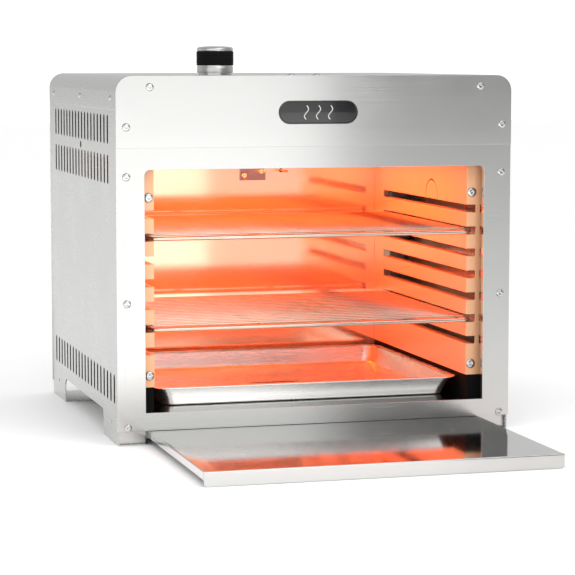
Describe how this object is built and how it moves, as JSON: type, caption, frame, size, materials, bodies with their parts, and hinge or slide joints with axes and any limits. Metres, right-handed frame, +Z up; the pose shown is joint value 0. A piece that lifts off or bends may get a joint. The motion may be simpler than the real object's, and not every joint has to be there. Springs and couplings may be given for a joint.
{
  "type": "gas broiler oven",
  "caption": "Table-top gas broiler oven: open-front steel cabinet with overhead burner, wire racks, food pan, pull-out shelf and a gas knob on top.",
  "frame": {"origin": "on the floor, under the middle of the oven with its shelf pulled out", "axes": "+Z up, -Y out of the open front, +X to the right of someone facing it from behind the front"},
  "size_m": [0.4628, 0.7, 0.4407],
  "materials": {
    "brushed_stainless": "brushed stainless sheet",
    "polished_stainless": "mirror-polished stainless sheet",
    "satin_stainless": "satin stainless sheet",
    "plain_stainless": "mill-finish stainless sheet",
    "screw_steel": "bright steel fasteners",
    "rack_wire": "electropolished stainless wire",
    "heat_wire": "heat-tinted stainless wire",
    "spring_steel": "drawn spring wire",
    "knob_metal": "satin chrome",
    "grip_rubber": "moulded ribbed rubber",
    "black_plastic": "moulded",
    "heat_black": "matt high-temperature paint",
    "black_enamel": "gloss enamel",
    "burner_ceramic": "porous burner ceramic, glowing orange in use",
    "white_ceramic": "fired insulator",
    "ceramic_fibre": "fibre felt",
    "brass": "machined brass",
    "pipe_aluminium": "drawn tube",
    "copper_probe": "drawn copper",
    "lead_sleeve": "silicone-sleeved lead"
  },
  "bodies": {
    "cabinet": {"back_liner": "polished_stainless", "back_panel": "brushed_stainless", "back_screws": "screw_steel", "badge_plate": "black_enamel", "badge_waves": "polished_stainless", "base_skirts": "brushed_stainless", "burner_brackets": "plain_stainless", "burner_gasket": "ceramic_fibre", "burner_housing": "plain_stainless", "burner_mesh": "heat_wire", "burner_skirt": "satin_stainless", "ceramic_plaques": "burner_ceramic", "cover_rivets": "screw_steel", "fascia_panel": "brushed_stainless", "fascia_screws": "screw_steel", "floor_panel": "polished_stainless", "foot_rivets": "screw_steel", "frame_screws": "screw_steel", "front_frame": "brushed_stainless", "gas_injector": "brass", "gas_supply_pipe": "pipe_aluminium", "heat_shield": "plain_stainless", "igniter_bracket": "plain_stainless", "igniter_electrode": "white_ceramic", "igniter_lead": "lead_sleeve", "igniter_screw": "screw_steel", "inlet_fitting": "brass", "knob_collar": "knob_metal", "liner_rail_left": "heat_black", "liner_rail_right": "heat_black", "liner_screws": "screw_steel", "manifold_pipe": "pipe_aluminium", "piezo_unit": "black_plastic", "shelf_runner_left": "plain_stainless", "shelf_runner_right": "plain_stainless", "side_liner_left": "satin_stainless", "side_liner_right": "satin_stainless", "side_panel_left": "brushed_stainless", "side_panel_right": "brushed_stainless", "thermocouple_lead": "lead_sleeve", "thermocouple_probe": "copper_probe", "top_cover": "brushed_stainless", "top_screws": "screw_steel", "valve_body": "brass", "valve_bracket": "plain_stainless", "valve_spring": "spring_steel", "venturi_tube": "plain_stainless"},
    "knob_push": {"spring_seat": "brass"},
    "knob": {"valve_spindle": "brass", "knob_skirt": "knob_metal", "knob_grip_ring": "grip_rubber", "knob_core": "black_plastic", "knob_cap": "knob_metal"},
    "upper_rack": {"upper_rack_frame": "rack_wire", "upper_rack_wires": "rack_wire"},
    "lower_rack": {"lower_rack_frame": "rack_wire", "lower_rack_wires": "rack_wire"},
    "food_pan": {"food_pan": "satin_stainless"},
    "pull_out_shelf": {"pull_out_shelf": "polished_stainless"}
  },
  "joints": [
    {"name": "knob_press", "type": "slide", "parent": "cabinet", "child": "knob_push", "axis": [0, 0, -1], "range_m": [0, 0.002], "stiffness_N_per_m": 1500, "springref_m": -0.003, "deforming": ["valve_spring"]},
    {"name": "knob_turn", "type": "hinge", "parent": "knob_push", "child": "knob", "pos_m": [-0.096, -0.005, 0.408], "axis": [0, 0, 1], "range_deg": [0, 180]},
    {"name": "upper_rack_slide", "type": "slide", "parent": "cabinet", "child": "upper_rack", "axis": [0, -1, 0], "range_m": [0, 0.33]},
    {"name": "lower_rack_slide", "type": "slide", "parent": "cabinet", "child": "lower_rack", "axis": [0, -1, 0], "range_m": [0, 0.33]},
    {"name": "food_pan_slide", "type": "slide", "parent": "cabinet", "child": "food_pan", "axis": [0, -1, 0], "range_m": [0, 0.345]},
    {"name": "shelf_slide", "type": "slide", "parent": "cabinet", "child": "pull_out_shelf", "axis": [0, -1, 0], "range_m": [-0.253, 0.09]}
  ]
}
